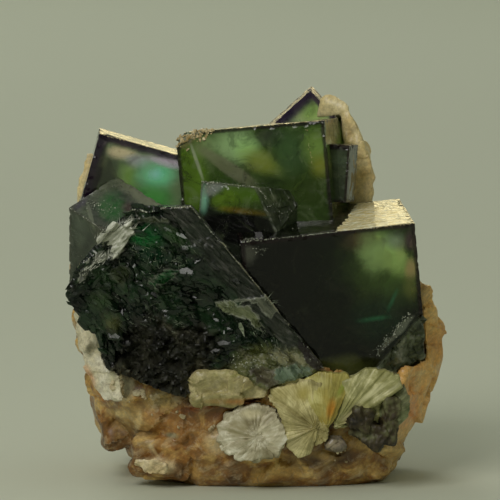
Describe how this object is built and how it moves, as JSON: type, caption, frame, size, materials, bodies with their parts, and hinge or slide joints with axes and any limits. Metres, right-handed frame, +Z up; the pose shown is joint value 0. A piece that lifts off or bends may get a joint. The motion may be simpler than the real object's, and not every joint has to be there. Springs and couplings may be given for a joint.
{
  "type": "fluorite crystal cluster on feldspar matrix",
  "caption": "Zoned green fluorite cubes with purple rims, grown through each other on amber feldspar with mica fans and a white rosette; stands on a flat break.",
  "frame": {"origin": "middle of the specimen's plan, on the flat break that it rests on", "axes": "+Z up, -Y the display side with the large cubes, +X to the right as seen from the display side"},
  "size_m": [0.043, 0.0295, 0.0441],
  "materials": {
    "fluorite_green": "clear green crystal with purple-black rims, bright faces and frosted breaks",
    "feldspar_amber": "amber to rust feldspar, dull broken cleavage with waxy patches",
    "feldspar_cream": "cream feldspar, satin",
    "feldspar_orange": "orange feldspar, satin with salmon stains",
    "quartz_white": "white, frosted and pitted",
    "mica_silk": "silky radiating blades, pale yellow-green",
    "mica_tan": "tan cleavage block, satin",
    "rosette_white": "white radiating blades, pearly",
    "schorl_black": "black prisms, semi-gloss",
    "grain_grey": "grey grain, dull"
  },
  "bodies": {
    "root": {"fluorite_cluster": "fluorite_green", "fluorite_top_crystal": "fluorite_green", "feldspar_matrix": "feldspar_amber", "feldspar_back": "feldspar_cream", "feldspar_right": "feldspar_orange", "feldspar_left_back": "feldspar_cream", "white_crystal_left": "quartz_white", "mica_block": "mica_tan", "mica_fan_centre": "mica_silk", "mica_fan_right": "mica_silk", "white_rosette": "rosette_white", "dark_crystals": "schorl_black", "white_grain": "quartz_white", "grey_grain": "grain_grey"}
  },
  "joints": []
}
